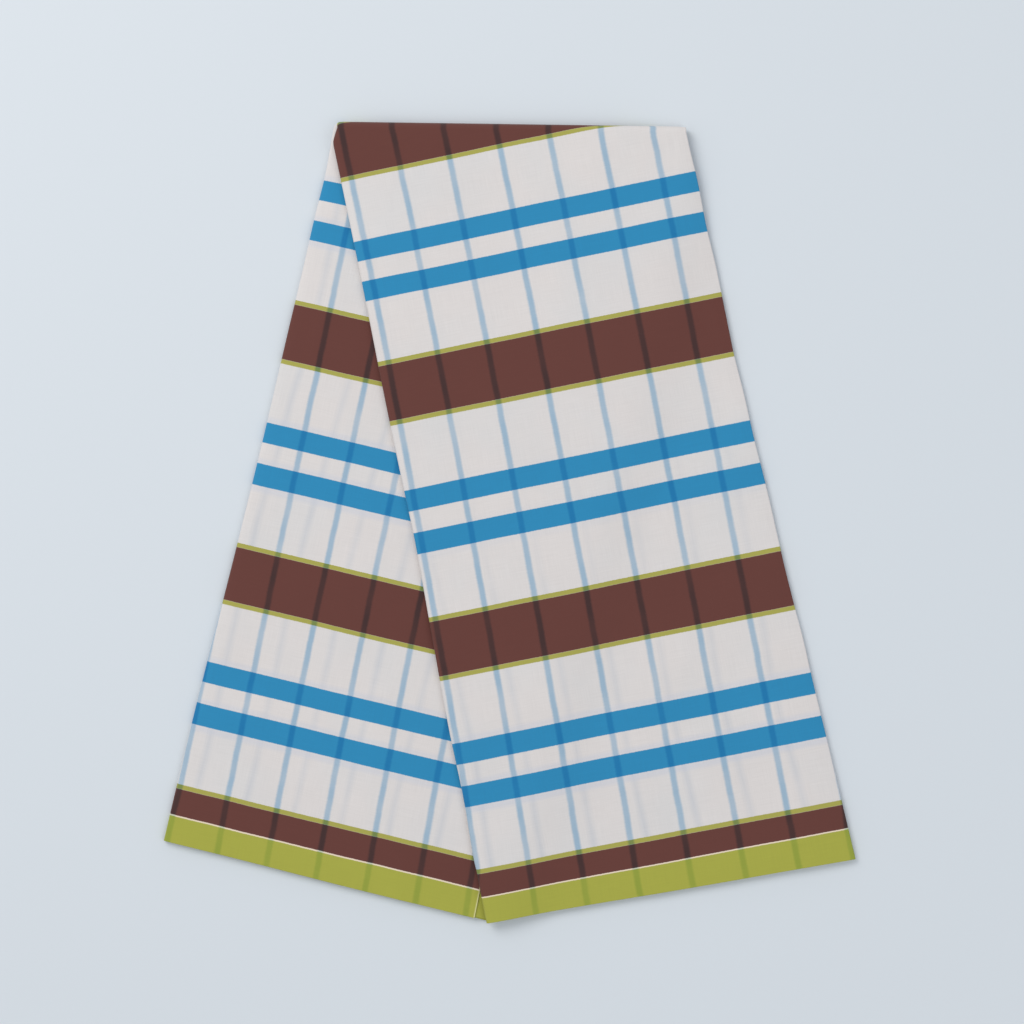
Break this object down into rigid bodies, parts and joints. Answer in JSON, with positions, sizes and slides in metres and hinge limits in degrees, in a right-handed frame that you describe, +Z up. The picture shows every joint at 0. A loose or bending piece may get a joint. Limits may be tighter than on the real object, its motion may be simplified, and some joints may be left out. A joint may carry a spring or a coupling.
{
  "type": "longyi sarong",
  "caption": "Checked cotton longyi sarong folded lengthwise into a narrow strip, doubled over a crease and laid flat with its two legs fanned apart.",
  "frame": {"origin": "middle of the folded garment's outline, on the surface it lies on", "axes": "+X to the right across the two hems, +Y away from the hems towards the crease, +Z up off the surface"},
  "size_m": [0.5123, 0.5926, 0.0097],
  "materials": {
    "checked_cotton": "thin plain-woven cotton, matt with a faint sheen, cream-white with blue, brown and lime stripes and thin blue lines"
  },
  "bodies": {
    "root": {"back_leg_wrap": "checked_cotton", "crease_turn": "checked_cotton", "front_leg_wrap": "checked_cotton", "hidden_folds": "checked_cotton"}
  },
  "joints": []
}
